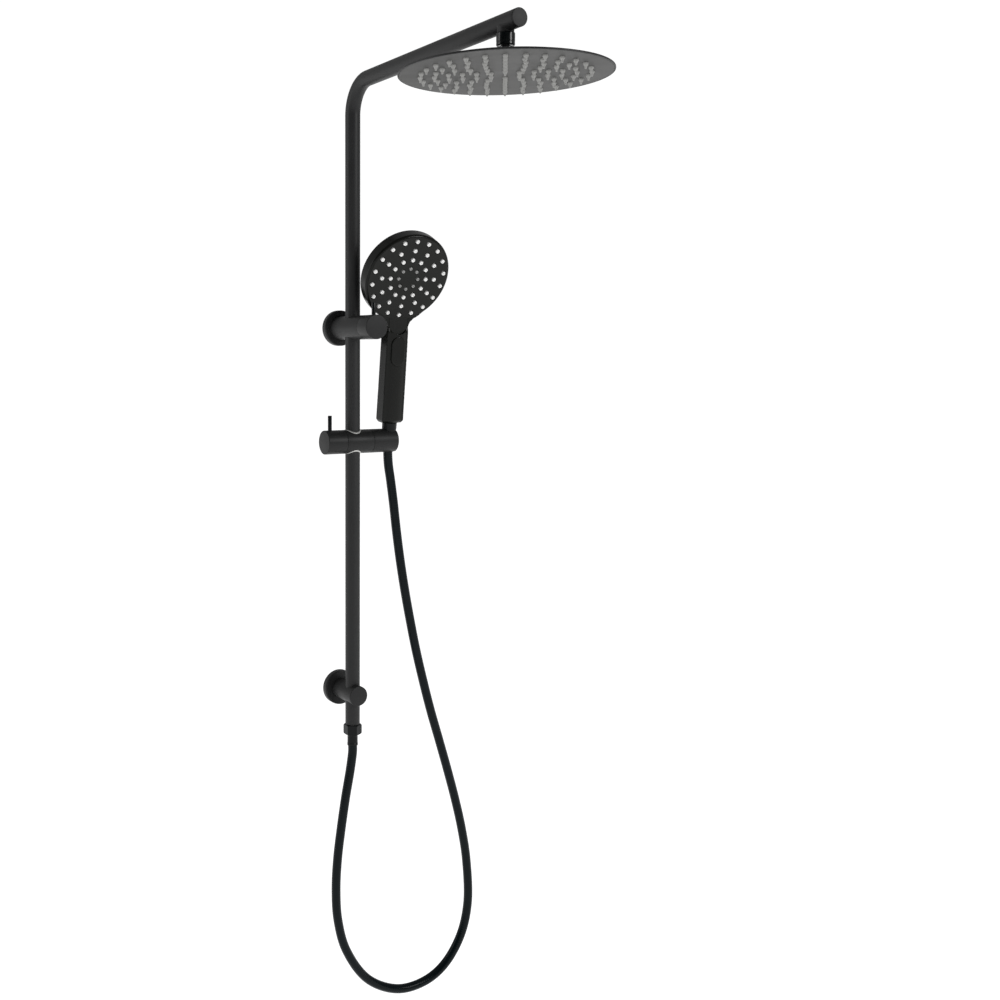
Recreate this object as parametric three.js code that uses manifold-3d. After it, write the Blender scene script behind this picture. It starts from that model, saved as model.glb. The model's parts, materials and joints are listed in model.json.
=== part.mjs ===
// Rainfall shower column: a wall-fed diverter carries a gooseneck riser with a round rain head,
// and a lower rail with a sliding holder, a hand shower and its hose.
// Millimetres, +Z up, front towards -Y. The wall is the plane y = 0, and the origin is the centre
// of the wall inlet on that plane.
import * as THREE from 'three';
import { mergeVertices } from 'three/addons/utils/BufferGeometryUtils.js';
import Module from 'manifold-3d';

const wasm = await Module();
wasm.setup();

// Driving dimensions
const GAP = 0.3; // clearance between pieces that touch
const TUBE_R = 11; // riser and arm tube
const TUBE_WALL = 1.5;
const RISER_OUT = 47; // riser axis to wall
const ARM_Z = 350; // arm axis above the inlet
const BEND_R = 45; // centreline radius of the gooseneck
const ARM_OUT = 457; // arm's tip to wall
const HEAD_OUT = 429; // rain head's centre to wall
const BALL_Z = 327; // centre of the rain head's ball
const FACE_Z = 291; // underside of the rain head
const RAIN_R = 127;
const DIVERTER_R = 17.5;
const DIVERTER_SEAM = 92; // body ends and knob starts, from the wall
const KNOB_OUT = 120; // knob's end to wall
const PIN_R = 3;
const LOWER_Z = -550; // lower bracket's axis
const LOWER_R = 15;
const LOWER_OUT = 66.5; // lower bracket's end to wall
const FLANGE_R = 26.5;
const FLANGE_T = 10;
const BARREL_START = 7.4; // where both barrels start inside their flanges
const SLIDER_Z = -168;
const SLIDER_R = 17.7;
const CLAMP_FROM = -16; // slider's sections along X
const CLAMP_TO = 28;
const LOCK_FROM = -47.6;
const CRADLE_TO = 69.5;
const HOLDER_X = 61; // bore for the hand shower
const HOLDER_TILT = THREE.MathUtils.degToRad(6.5);
const FACE_TILT = THREE.MathUtils.degToRad(21); // hand shower's face against its handle
const HAND_R = 67.5;
const HAND_CENTRE = [0, -29, 242.3]; // face centre in the handle's frame
const HOSE_R = 7;

// Hose route from the lower ferrule to the cone nut: [x, y from the riser's plane, z]
const HOSE_ROUTE = [
  [0, 0, -630.4], [0, 0, -640], [-4, 0, -668], [-12, 0, -710], [-20, 0, -760],
  [-26, 0, -806], [-28.5, 0, -853], [-25.5, 0, -901], [-11, 0, -953], [28, 0, -1009],
  [83, 0, -1037], [133, 0, -1034], [168, 0, -1014], [197, 0, -973], [210, 0, -922],
  [207, 0, -850], [198, 0, -798], [185, 0, -746], [170, 0, -695], [154, 0, -644],
  [138, 0, -594], [124, 0.5, -544], [111.5, 1, -495], [101, 1.5, -447], [91.5, 2, -399],
  [83.5, 2.5, -352], [77, 3, -306], [72, 3.5, -264], [67, 4, -228], [63, 3.5, -205],
  [61, 1.9, -184.4], [61, -1.36, -156.1],
];
const HOSE_UPPER_LENGTH = 110; // last stretch, which bends with the holder

const RIGHT_ANGLE = Math.PI / 2;

// Materials
function finish(color, roughness, metalness) {
  return new THREE.MeshStandardMaterial({ color, roughness, metalness });
}
const BLACK_METAL = finish(0x2d2d2c, 0.5, 0.35);
const BLACK_PLASTIC = finish(0x30302e, 0.5, 0);
const FACE_GREY = finish(0x5b5b59, 0.5, 0.1);
const SILICONE_GREY = finish(0xa9a9a6, 0.6, 0);
const SILICONE_WHITE = finish(0xe8e8e6, 0.5, 0);
const SILICONE_MID = finish(0x8d8d8a, 0.5, 0);
const NYLON = finish(0xcfcfcb, 0.5, 0);
const RUBBER = finish(0x1b1b1b, 0.8, 0);
const BRASS = finish(0xb59a5a, 0.35, 1);
const STEEL = finish(0xb9bcc0, 0.3, 1);
const CERAMIC = finish(0xe9e6df, 0.4, 0);
const HOSE_BLACK = finish(0x1d2123, 0.25, 0);
const GLOSS_BLACK = finish(0x202426, 0.2, 0.4);

// Geometry with merged corners, no slivers and its faces pointing out
function closed(geometry) {
  const bare = geometry.clone();
  bare.deleteAttribute('normal');
  bare.deleteAttribute('uv');
  const merged = mergeVertices(bare, 1e-4);
  const position = merged.getAttribute('position');
  const corners = [];
  const a = new THREE.Vector3();
  const b = new THREE.Vector3();
  const c = new THREE.Vector3();
  let volume = 0;
  for (let i = 0; i < merged.index.count; i += 3) {
    const triangle = [merged.index.getX(i), merged.index.getX(i + 1), merged.index.getX(i + 2)];
    if (new Set(triangle).size < 3) continue;
    a.fromBufferAttribute(position, triangle[0]);
    b.fromBufferAttribute(position, triangle[1]);
    c.fromBufferAttribute(position, triangle[2]);
    volume += a.dot(b.cross(c));
    corners.push(triangle);
  }
  const outward = volume > 0 ? corners : corners.map(([p, q, r]) => [p, r, q]);
  const result = new THREE.BufferGeometry();
  result.setAttribute('position', position);
  result.setIndex(outward.flat());
  return result;
}

function toSolid(geometry) {
  const shape = closed(geometry);
  return new wasm.Manifold(new wasm.Mesh({
    numProp: 3,
    vertProperties: new Float32Array(shape.getAttribute('position').array),
    triVerts: new Uint32Array(shape.index.array),
  }));
}

function toGeometry(solid) {
  const mesh = solid.getMesh();
  const geometry = new THREE.BufferGeometry();
  geometry.setAttribute('position', new THREE.BufferAttribute(mesh.vertProperties, 3));
  geometry.setIndex(new THREE.BufferAttribute(mesh.triVerts, 1));
  return geometry;
}

function combine(method, first, others) {
  return toGeometry(others.reduce((solid, other) => solid[method](toSolid(other)), toSolid(first)));
}
const join = (first, ...others) => combine('add', first, others);
const cut = (first, ...others) => combine('subtract', first, others);
const common = (first, ...others) => combine('intersect', first, others);

// Turned piece about +Z. The profile is [radius, height] pairs, from axis to axis or once round.
function turned(profile, sides = 16) {
  const points = profile.map(([radius, height]) => new THREE.Vector2(radius, height));
  return closed(new THREE.LatheGeometry(points, sides).rotateX(RIGHT_ANGLE));
}

function rod(radius, from, to, sides = 16) {
  return turned([[0, from], [radius, from], [radius, to], [0, to]], sides);
}

function sleeve(outer, inner, from, to, sides = 16) {
  return turned([[inner, from], [outer, from], [outer, to], [inner, to], [inner, from]], sides);
}

// The same shapes lying along X
const rodX = (radius, from, to, sides) => rod(radius, from, to, sides).rotateY(RIGHT_ANGLE);
const sleeveX = (outer, inner, from, to) => sleeve(outer, inner, from, to).rotateY(RIGHT_ANGLE);

function polygon(sides, radius, x = 0, y = 0) {
  return Array.from({ length: sides }, (_, i) => {
    const angle = (i / sides) * 2 * Math.PI;
    return new THREE.Vector2(x + radius * Math.cos(angle), y + radius * Math.sin(angle));
  });
}

// Flat plate of that outline, with holes, from one height to another
function plate(outline, holes, from, to) {
  const shape = new THREE.Shape(outline);
  shape.holes = holes.map((hole) => new THREE.Path(hole));
  const options = { depth: to - from, bevelEnabled: false };
  return closed(new THREE.ExtrudeGeometry(shape, options).translate(0, 0, from));
}

// A curve given by its own function of t, which a sweep follows in even steps of t
class PlainCurve extends THREE.Curve {
  constructor(pointAt) {
    super();
    this.pointAt = pointAt;
  }

  getPoint(t, target = new THREE.Vector3()) {
    return target.copy(this.pointAt(t));
  }

  getUtoTmapping(u) {
    return u;
  }
}

// Straight from station to station, so that each step of a sweep ends on a station
function throughStations(stations) {
  const last = stations.length - 1;
  return new PlainCurve((t) => {
    const index = Math.min(Math.floor(t * last), last - 1);
    return stations[index].clone().lerp(stations[index + 1], t * last - index);
  });
}

function sweep(extrudePath, steps, sides, outerR, innerR = 0) {
  const shape = new THREE.Shape(polygon(sides, outerR));
  if (innerR) shape.holes = [new THREE.Path(polygon(sides, innerR))];
  return closed(new THREE.ExtrudeGeometry(shape, { steps, bevelEnabled: false, extrudePath }));
}

const column = new THREE.Group();

function place(parent, { position = [0, 0, 0], turn = [0, 0, 0] } = {}) {
  const group = new THREE.Group();
  group.position.set(...position);
  group.rotation.set(...turn);
  parent.add(group);
  return group;
}

function piece(parent, name, geometry, material) {
  const mesh = new THREE.Mesh(geometry, material);
  mesh.name = name;
  parent.add(mesh);
}

// Wall flange: a shallow cup, open to the wall, with a hole for its barrel
function flange(barrelR) {
  const hole = barrelR + GAP;
  return turned([
    [hole, BARREL_START], [22, BARREL_START], [22, 0], [FLANGE_R, 0], [FLANGE_R, 8],
    [24.5, FLANGE_T], [hole, FLANGE_T], [hole, BARREL_START],
  ], 24);
}

function addTubes() {
  const innerR = TUBE_R - TUBE_WALL;
  const bendSteps = 8;
  const stations = [new THREE.Vector3(0, -RISER_OUT, 6)];
  for (let i = 0; i <= bendSteps; i += 1) {
    const angle = (i / bendSteps) * RIGHT_ANGLE;
    const y = -RISER_OUT - BEND_R * (1 - Math.cos(angle));
    stations.push(new THREE.Vector3(0, y, ARM_Z - BEND_R + BEND_R * Math.sin(angle)));
  }
  stations.push(new THREE.Vector3(0, -ARM_OUT + 2.3, ARM_Z));
  const steps = stations.length - 1;
  const upper = sweep(throughStations(stations), steps, 16, TUBE_R, innerR);
  const outlet = rod(7, ARM_Z - 15, ARM_Z, 12).translate(0, -HEAD_OUT, 0);
  piece(column, 'riser_upper_tube', cut(upper, outlet), BLACK_METAL);

  const lower = sleeve(TUBE_R, innerR, LOWER_Z - 6, -6, 20).translate(0, -RISER_OUT, 0);
  piece(column, 'riser_lower_tube', lower, BLACK_METAL);

  const armEnd = place(column, { position: [0, 0, ARM_Z], turn: [RIGHT_ANGLE, 0, 0] });
  piece(armEnd, 'arm_end_cap', turned([
    [0, ARM_OUT - 10], [innerR - GAP, ARM_OUT - 10], [innerR - GAP, ARM_OUT - 2],
    [TUBE_R, ARM_OUT - 2], [TUBE_R, ARM_OUT - 0.5], [TUBE_R - 0.5, ARM_OUT], [0, ARM_OUT],
  ], 20), BLACK_METAL);
}

function addArmOutlet() {
  const outlet = place(column, { position: [0, -HEAD_OUT, 0] });
  const armSurface = rod(TUBE_R + GAP, -20, 20, 20).rotateX(RIGHT_ANGLE).translate(0, 0, ARM_Z);
  const saddle = cut(rod(10, 338.2, 345), armSurface);
  const bore = rod(4.5, 330, 345, 12);
  const stub = cut(join(saddle, rod(6.7, 339, 343.5, 12), rod(9.3, 334.5, 338.4)), bore);
  piece(outlet, 'arm_outlet_stub', stub, BLACK_METAL);
  piece(outlet, 'flow_regulator', sleeve(4.2, 1.5, 335.5, 338.5, 12), NYLON);
  piece(outlet, 'head_swivel_nut', turned([
    [6.2, 323], [10.2, 323], [11.1, 324], [11.1, 337], [10.4, 337.9], [9.6, 337.9],
    [9.6, 326], [6.2, 323],
  ], 20), GLOSS_BLACK);
  piece(outlet, 'ball_seat_ring', sleeve(9.3, 5.8, 331.6, 334.2, 16), NYLON);
}

function addRainHead() {
  const head = place(column, { position: [0, -HEAD_OUT, FACE_Z] });
  const ballZ = BALL_Z - FACE_Z;
  const ballR = 7;
  const neckR = 4;
  const profile = [[0, 14], [neckR, 14]];
  const from = Math.asin(neckR / ballR);
  for (let i = 0; i <= 6; i += 1) {
    const angle = from + (i / 6) * (Math.PI - from);
    profile.push([ballR * Math.sin(angle), ballZ - ballR * Math.cos(angle)]);
  }
  profile[profile.length - 1][0] = 0;
  const bore = rod(2, 10, ballZ + 10, 10);
  piece(head, 'swivel_ball', cut(turned(profile, 16), bore), STEEL);

  piece(head, 'rain_head_shell', turned([
    [4.3, 29.5], [4.3, 10], [60, 7.6], [113, 4.2], [RAIN_R - 1.3, 1.6], [RAIN_R - 1.3, 0],
    [RAIN_R, 0.4], [RAIN_R, 2.2], [114, 5.4], [60, 9], [24, 10.8], [20, 15],
    [8.3, 16], [8.3, 29.5], [4.3, 29.5],
  ], 32), BLACK_METAL);

  // The face and its mat are plain discs here: nozzles and their holes are too fine for these solids
  piece(head, 'rain_head_face', rod(RAIN_R - 1.7, 0, 1.2, 32), FACE_GREY);
  piece(head, 'rain_head_nozzle_mat', rod(111, 1.5, 3, 24), SILICONE_GREY);
  piece(head, 'rain_head_seal', sleeve(117, 112, 1.5, 2.6, 24), RUBBER);
}

function addDiverter() {
  const bracket = place(column, { turn: [RIGHT_ANGLE, 0, 0] });
  piece(bracket, 'upper_wall_flange', flange(DIVERTER_R), BLACK_METAL);
  piece(bracket, 'upper_flange_gasket', sleeve(21.6, 18.4, 0.2, 4, 20), RUBBER);

  const nutOutline = polygon(6, 13.8);
  piece(bracket, 'inlet_union_nut', plate(nutOutline, [polygon(16, 10.5)], 0.4, 7), BRASS);
  piece(bracket, 'inlet_washer', sleeve(10, 6.8, 1, 3.2, 16), RUBBER);

  // The riser's bore runs along the bracket's local Y
  const riserBore = rod(TUBE_R + GAP, -30, 30, 20).rotateX(RIGHT_ANGLE).translate(0, 0, RISER_OUT);
  const rings = [-1, 1].map((side) => rod(13.3, 7, 9.3, 20).rotateX(-RIGHT_ANGLE * side)
    .translate(0, 0, RISER_OUT));
  const body = turned([
    [0, 3.5], [10.2, 3.5], [10.2, BARREL_START], [DIVERTER_R, BARREL_START],
    [DIVERTER_R, DIVERTER_SEAM - GAP], [0, DIVERTER_SEAM - GAP],
  ], 24);
  const hollow = [rod(6.5, 0, RISER_OUT, 16), rod(6, RISER_OUT, 66, 16), rod(13.2, 63, 100)];
  piece(bracket, 'diverter_body', cut(body, riserBore, ...rings, ...hollow), BLACK_METAL);
  ['riser_oring_lower', 'riser_oring_upper'].forEach((name, index) => {
    const side = index === 0 ? 1 : -1;
    const ring = sleeve(13, TUBE_R + GAP, 7.3, 9, 16).rotateX(-RIGHT_ANGLE * side * -1);
    piece(bracket, name, ring.translate(0, 0, RISER_OUT), RUBBER);
  });

  piece(bracket, 'diverter_cartridge', cut(rod(12.9, 63.3, 84), rod(4.4, 75, 90, 16),
    rod(5, 60, 70, 12)), CERAMIC);
  piece(bracket, 'cartridge_nut', sleeve(12.9, 6, 84.3, 91.2), BRASS);
  piece(bracket, 'diverter_stem', rod(4, 75.3, 105, 16), BRASS);

  const pinOut = 110.5;
  const pinTop = 35;
  const knob = turned([
    [0, DIVERTER_SEAM], [DIVERTER_R, DIVERTER_SEAM], [DIVERTER_R, KNOB_OUT - 0.8],
    [DIVERTER_R - 0.8, KNOB_OUT], [0, KNOB_OUT],
  ], 24);
  const pinHole = rod(PIN_R + GAP, 8, 25, 16).rotateX(-RIGHT_ANGLE).translate(0, 0, pinOut);
  const grubHole = rod(2.3, 3, 25, 12).rotateX(RIGHT_ANGLE).translate(0, 0, 99);
  piece(bracket, 'diverter_knob', cut(knob, rod(4.3, 90, 105.3, 16), pinHole, grubHole),
    BLACK_METAL);
  const pin = turned([
    [0, 8.3], [PIN_R, 8.3], [PIN_R, pinTop - 0.6], [PIN_R - 0.6, pinTop], [0, pinTop],
  ], 12).rotateX(-RIGHT_ANGLE).translate(0, 0, pinOut);
  piece(bracket, 'diverter_pin', pin, BLACK_METAL);
  const grub = rod(2, 4.4, 15.8, 12).rotateX(RIGHT_ANGLE).translate(0, 0, 99);
  piece(bracket, 'knob_grub_screw', grub, STEEL);
}

function addLowerBracket() {
  const bracket = place(column, { position: [0, 0, LOWER_Z], turn: [RIGHT_ANGLE, 0, 0] });
  piece(bracket, 'lower_wall_flange', flange(LOWER_R), BLACK_METAL);

  const anchorR = 9;
  const anchor = turned([
    [2.8, 0], [20, 0], [20, 3], [anchorR, 3], [anchorR, 22], [5, 22], [5, 17], [2.8, 17], [2.8, 0],
  ], 20);
  piece(bracket, 'lower_wall_anchor', anchor, STEEL);
  piece(bracket, 'lower_wall_screw', turned([
    [0, 0], [2.5, 0], [2.5, 17.3], [4.7, 17.3], [4.7, 20.5], [0, 20.5],
  ], 12), STEEL);

  const body = turned([
    [0, BARREL_START], [LOWER_R, BARREL_START], [LOWER_R, LOWER_OUT - 0.8],
    [LOWER_R - 0.8, LOWER_OUT], [0, LOWER_OUT],
  ], 24);
  const bore = rod(TUBE_R + GAP, -30, 30, 20).rotateX(RIGHT_ANGLE).translate(0, 0, RISER_OUT);
  const groove = rod(13.3, 2, 4.3, 20).rotateX(-RIGHT_ANGLE).translate(0, 0, RISER_OUT);
  const grubHole = rod(2.3, 5, 20, 12).rotateX(RIGHT_ANGLE).translate(0, 0, 14);
  const anchorBore = rod(anchorR + GAP, 0, 24, 20);
  piece(bracket, 'lower_bracket_body', cut(body, bore, groove, grubHole, anchorBore), BLACK_METAL);
  const grub = rod(2, anchorR + GAP, 13.8, 12).rotateX(RIGHT_ANGLE).translate(0, 0, 14);
  piece(bracket, 'bracket_grub_screw', grub, STEEL);
  const oring = sleeve(13, TUBE_R + GAP, 2.3, 4, 16).rotateX(-RIGHT_ANGLE);
  piece(bracket, 'lower_riser_oring', oring.translate(0, 0, RISER_OUT), RUBBER);
}

function addHoseOutlet() {
  const outlet = place(column, { position: [0, -RISER_OUT, 0] });
  piece(outlet, 'outlet_spigot', turned([
    [6.5, -605], [9.6, -605], [9.6, -597.2], [TUBE_R, -597.2], [TUBE_R, -556.4],
    [6.5, -556.4], [6.5, -605],
  ]), BLACK_METAL);
  const nut = cut(plate(polygon(6, 13.9), [], -612, -597.5), rod(10, -609.4, -590),
    rod(7.8, -620, -600));
  piece(outlet, 'hose_nut_lower', nut, GLOSS_BLACK);
  piece(outlet, 'hose_washer_lower', sleeve(9.6, 4, -607.2, -605.3, 16), RUBBER);
  piece(outlet, 'hose_ferrule_lower', turned([
    [4, -630], [8.2, -630], [8.2, -612.4], [7.4, -612.4], [7.4, -609.1], [9.6, -609.1],
    [9.6, -607.5], [4, -607.5], [4, -630],
  ], 20), GLOSS_BLACK);
}

function addHose() {
  const points = HOSE_ROUTE.map(([x, y, z]) => new THREE.Vector3(x, y - RISER_OUT, z));
  const route = new THREE.CatmullRomCurve3(points, false, 'centripetal');
  const length = route.getLength();
  const split = 1 - HOSE_UPPER_LENGTH / length;
  const stretch = (from, to) => new PlainCurve((t) => route.getPointAt(from + (to - from) * t));
  piece(column, 'shower_hose', sweep(stretch(0, split), 44, 8, HOSE_R), HOSE_BLACK);
  const upper = stretch(split + GAP / length, 1);
  piece(column, 'hose_upper_end', sweep(upper, 6, 8, HOSE_R), HOSE_BLACK);
}

function addSlider() {
  const slider = place(column, { position: [0, -RISER_OUT, SLIDER_Z] });
  const bushR = 13;
  const clamp = cut(rodX(SLIDER_R, CLAMP_FROM, CLAMP_TO, 24), rod(bushR + GAP, -30, 30),
    rodX(5.3, CLAMP_FROM - 5, -5, 16), rodX(4.3, 14.7, 40, 12));
  piece(slider, 'slider_clamp', clamp, BLACK_METAL);
  const bush = common(sleeve(bushR, TUBE_R + GAP, -25, 25), rodX(SLIDER_R + 0.4, -30, 30, 24));
  piece(slider, 'rail_bush', cut(bush, rodX(5.3, -20, -5, 16)), NYLON);
  const pad = cut(rodX(5, -15.4, -10, 16), rod(TUBE_R + GAP, -30, 30, 20));
  piece(slider, 'brake_pad', pad, RUBBER);

  const boltEnd = 45;
  const bolt = turned([
    [0, 15], [4, 15], [4, 40], [6.5, 40], [6.5, boltEnd], [0, boltEnd],
  ], 16).rotateY(RIGHT_ANGLE);
  piece(slider, 'pivot_bolt', bolt, STEEL);
  piece(slider, 'friction_washer', sleeveX(10, 4.4, CLAMP_TO + GAP, CLAMP_TO + 1.5), STEEL);

  const knobEnd = CLAMP_FROM - GAP;
  const knob = turned([
    [0, LOCK_FROM], [SLIDER_R - 0.8, LOCK_FROM], [SLIDER_R, LOCK_FROM + 0.8],
    [SLIDER_R, knobEnd], [0, knobEnd],
  ], 24).rotateY(RIGHT_ANGLE);
  const pinX = -38;
  const pinHole = rod(PIN_R + GAP, 8, 25, 16).translate(pinX, 0, 0);
  const screwHole = rodX(4.3, -32, 0, 16);
  piece(slider, 'lock_knob', cut(knob, pinHole, screwHole), BLACK_METAL);
  const pinTop = SLIDER_R + 21.7;
  piece(slider, 'lock_knob_pin', turned([
    [0, 8.3], [PIN_R, 8.3], [PIN_R, pinTop - 0.6], [PIN_R - 0.6, pinTop], [0, pinTop],
  ], 12).translate(pinX, 0, 0), BLACK_METAL);
  piece(slider, 'lock_screw', rodX(4, -31.7, -17.2, 16), STEEL);
}

// The taper that the cone nut and the cradle's bore share, as [radius, height]
const CONE = [[9.2, -16.5], [10.7, 17], [11.3, 26.7]];

function addHolder() {
  const holder = place(column, {
    position: [HOLDER_X, -RISER_OUT, SLIDER_Z],
    turn: [HOLDER_TILT, 0, 0],
  });
  const start = CLAMP_TO + GAP - HOLDER_X;
  const end = CRADLE_TO - HOLDER_X;
  const barrel = turned([
    [0, start], [SLIDER_R, start], [SLIDER_R, end - 0.8], [SLIDER_R - 0.8, end], [0, end],
  ], 24).rotateY(RIGHT_ANGLE);
  const [low, middle] = CONE;
  const slope = (middle[0] - low[0]) / (middle[1] - low[1]);
  const taperAt = (height) => low[0] + GAP + slope * (height - low[1]);
  const bore = turned([[0, -25], [taperAt(-25), -25], [taperAt(25), 25], [0, 25]], 24);
  const slot = new THREE.BoxGeometry(40, 15.2, 60).translate(20, 0, 0);
  const washerSeat = rodX(10.3, start - 5, start + 1.5, 24);
  const boltBore = rodX(4.3, start - 5, 0, 16);
  const boltHead = rodX(6.8, 39.7 - HOLDER_X, 0, 16);
  piece(holder, 'holder_cradle', cut(barrel, bore, slot, washerSeat, boltBore, boltHead),
    BLACK_METAL);
  addHandShower(holder);
}

function handleShape() {
  // Side outline as [y, z], spread along X with chamfered edges
  const side = new THREE.Shape([
    [-10.5, 27.5], [10.5, 27.5], [13.5, 31.5], [13.5, 165], [14.5, 195], [8, 222], [-4, 240],
    [-16, 240], [-16, 205], [-8.8, 180], [-8.8, 166], [-13.5, 162], [-13.5, 31.5],
  ].map(([y, z]) => new THREE.Vector2(y, z)));
  const bevel = 5;
  const width = 36;
  const options = {
    depth: width - 2 * bevel,
    bevelThickness: bevel,
    bevelSize: 4,
    bevelOffset: -4,
    bevelSegments: 1,
  };
  // Shape x, y and depth become y, z and x
  const spread = new THREE.ExtrudeGeometry(side, options).translate(0, 0, -width / 2 + bevel)
    .applyMatrix4(new THREE.Matrix4().makeBasis(
      new THREE.Vector3(0, 1, 0),
      new THREE.Vector3(0, 0, 1),
      new THREE.Vector3(1, 0, 0),
    ));
  const front = [
    [-14, 20], [14, 20], [15.5, 27.5], [18, 31.5], [17.4, 150], [15.5, 200], [12, 245],
    [-12, 245], [-15.5, 200], [-17.4, 150], [-18, 31.5], [-15.5, 27.5],
  ].map(([x, z]) => new THREE.Vector2(x, z));
  const outline = plate(front, [], -60, 60).rotateX(RIGHT_ANGLE);
  return common(spread, outline);
}

function addHandShower(parent) {
  const hand = place(parent);
  const toFace = new THREE.Matrix4().makeRotationX(RIGHT_ANGLE + FACE_TILT)
    .setPosition(...HAND_CENTRE);
  const bowl = turned([
    [0, -25.5], [40, -25], [58, -24], [64, -22], [HAND_R, -18.5],
    [HAND_R, -1.8], [HAND_R - 1.6, 0], [0, 0],
  ], 28).applyMatrix4(toFace);
  const cavity = turned([
    [0, -23], [40, -22.5], [57, -21.5], [61.5, -19.5], [63.2, -16.5], [63.2, -2.7],
    [64.9, -2.7], [64.9, 5], [0, 5],
  ], 28).applyMatrix4(toFace);
  const passage = rod(5.5, 0, 42, 12).rotateX(-0.05).translate(0, 0, 160);
  const bore = rod(9.8, 20, 165, 20);
  const buttonHole = capsule(22.6, 43.6, -20, -2);
  const shell = cut(join(bowl, handleShape()), cavity, passage, bore, buttonHole);
  piece(hand, 'handset_shell', shell, BLACK_PLASTIC);
  piece(hand, 'handset_core', sleeve(7, 4.5, 37, 164, 16), NYLON);
  piece(hand, 'handset_inlet', sleeve(9.4, 4.5, 18.6, 36.7, 20), BLACK_PLASTIC);
  piece(hand, 'spray_button', capsule(22, 43, -14.1, -10.2), BLACK_PLASTIC);
  const spring = sleeve(3, 2, 7.2, 10, 12).rotateX(RIGHT_ANGLE).translate(0, 0, 135);
  piece(hand, 'button_spring', spring, STEEL);

  const head = place(hand, { position: HAND_CENTRE, turn: [RIGHT_ANGLE + FACE_TILT, 0, 0] });
  piece(head, 'handset_face', rod(64.4, -2.4, 0, 28), BLACK_PLASTIC);
  piece(head, 'handset_nozzle_mat', sleeve(61.3, 21.6, -5, -2.7, 24), SILICONE_WHITE);
  piece(head, 'handset_inner_nozzles', rod(21, -5, -2.7), SILICONE_MID);
  piece(head, 'handset_backing_plate', sleeve(61, 6, -7.5, -5.3, 24), NYLON);

  piece(hand, 'hose_cone_nut', turned([
    [7.6, CONE[0][1]], [CONE[0][0], CONE[0][1]], CONE[1], CONE[2], [9.7, CONE[2][1]],
    [9.7, 13.6], [7.6, 13.6], [7.6, CONE[0][1]],
  ], 24), GLOSS_BLACK);
  piece(hand, 'hose_ferrule_upper', sleeve(9.3, 3.5, 13.9, 16, 16), BRASS);
  piece(hand, 'hose_washer_upper', sleeve(9.3, 4, 16.3, 18.3, 16), RUBBER);
}

// Upright capsule on the handle's front, between two depths y
function capsule(width, height, from, to) {
  const radius = width / 2;
  const straight = height / 2 - radius;
  const shape = new THREE.Shape();
  shape.absarc(0, straight, radius, 0, Math.PI);
  shape.absarc(0, -straight, radius, Math.PI, 2 * Math.PI);
  const options = { depth: to - from, bevelEnabled: false, curveSegments: 6 };
  return closed(new THREE.ExtrudeGeometry(shape, options).translate(0, 0, -to)
    .rotateX(RIGHT_ANGLE).translate(0, 0, 135));
}

addTubes();
addArmOutlet();
addRainHead();
addDiverter();
addLowerBracket();
addHoseOutlet();
addHose();
addSlider();
addHolder();

export default column;
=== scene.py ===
import json
import math

import bmesh
import bpy
from mathutils import Matrix, Vector, geometry


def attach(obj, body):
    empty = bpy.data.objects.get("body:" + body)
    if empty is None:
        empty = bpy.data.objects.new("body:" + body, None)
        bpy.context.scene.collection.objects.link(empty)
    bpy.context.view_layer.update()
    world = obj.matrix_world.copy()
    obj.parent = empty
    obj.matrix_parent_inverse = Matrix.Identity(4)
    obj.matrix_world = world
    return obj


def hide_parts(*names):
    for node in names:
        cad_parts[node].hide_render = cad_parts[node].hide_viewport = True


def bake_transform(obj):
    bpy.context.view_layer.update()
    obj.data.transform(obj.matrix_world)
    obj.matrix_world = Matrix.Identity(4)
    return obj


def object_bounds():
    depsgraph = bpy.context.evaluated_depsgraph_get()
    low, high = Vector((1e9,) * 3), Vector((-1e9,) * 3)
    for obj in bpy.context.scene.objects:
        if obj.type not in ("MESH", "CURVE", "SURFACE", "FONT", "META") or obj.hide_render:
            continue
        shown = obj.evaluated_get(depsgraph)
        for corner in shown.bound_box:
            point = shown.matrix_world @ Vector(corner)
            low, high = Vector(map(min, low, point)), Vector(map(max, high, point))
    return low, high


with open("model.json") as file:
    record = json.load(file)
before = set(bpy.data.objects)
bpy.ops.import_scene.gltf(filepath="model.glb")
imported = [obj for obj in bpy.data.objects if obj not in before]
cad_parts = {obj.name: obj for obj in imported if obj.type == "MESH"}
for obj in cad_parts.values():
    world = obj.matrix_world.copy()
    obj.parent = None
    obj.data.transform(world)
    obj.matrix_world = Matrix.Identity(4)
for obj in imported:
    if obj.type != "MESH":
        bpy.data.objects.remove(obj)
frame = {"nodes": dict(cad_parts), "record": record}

# Lengths are millimetres in the part's frame, unless a comment says metres.
MM = 0.001
CAD_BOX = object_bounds()
RECORD = frame["record"]
SLOT_OF = {part["node"]: part["material_slot"] for part in RECORD["subparts"]}
BODY_OF = {
    node: body
    for body, nodes in RECORD["behaviour"]["bodies"].items()
    for node in nodes
}

# Driving dimensions, as in the CAD
TUBE_R = 11
RISER_OUT = 47
ARM_Z = 350
BEND_R = 45
ARM_OUT = 457
HEAD_OUT = 429
FACE_Z = 291
RAIN_R = 127
DIVERTER_R = 17.5
DIVERTER_SEAM = 92
KNOB_OUT = 120
PIN_R = 3
LOWER_Z = -550
LOWER_R = 15
LOWER_OUT = 66.5
SLIDER_Z = -168
SLIDER_R = 17.7
HAND_X = 61
HAND_LEAN = math.radians(6.5)
HAND_R = 67.5
HOSE_R = 7

# Usual sizes that several pieces share
FLANGE_R = 26.5
FLANGE_OUT = 10
GRUB_R = 2.3
GAP = 0.3  # seam between neighbouring barrels, and play round the riser

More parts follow.
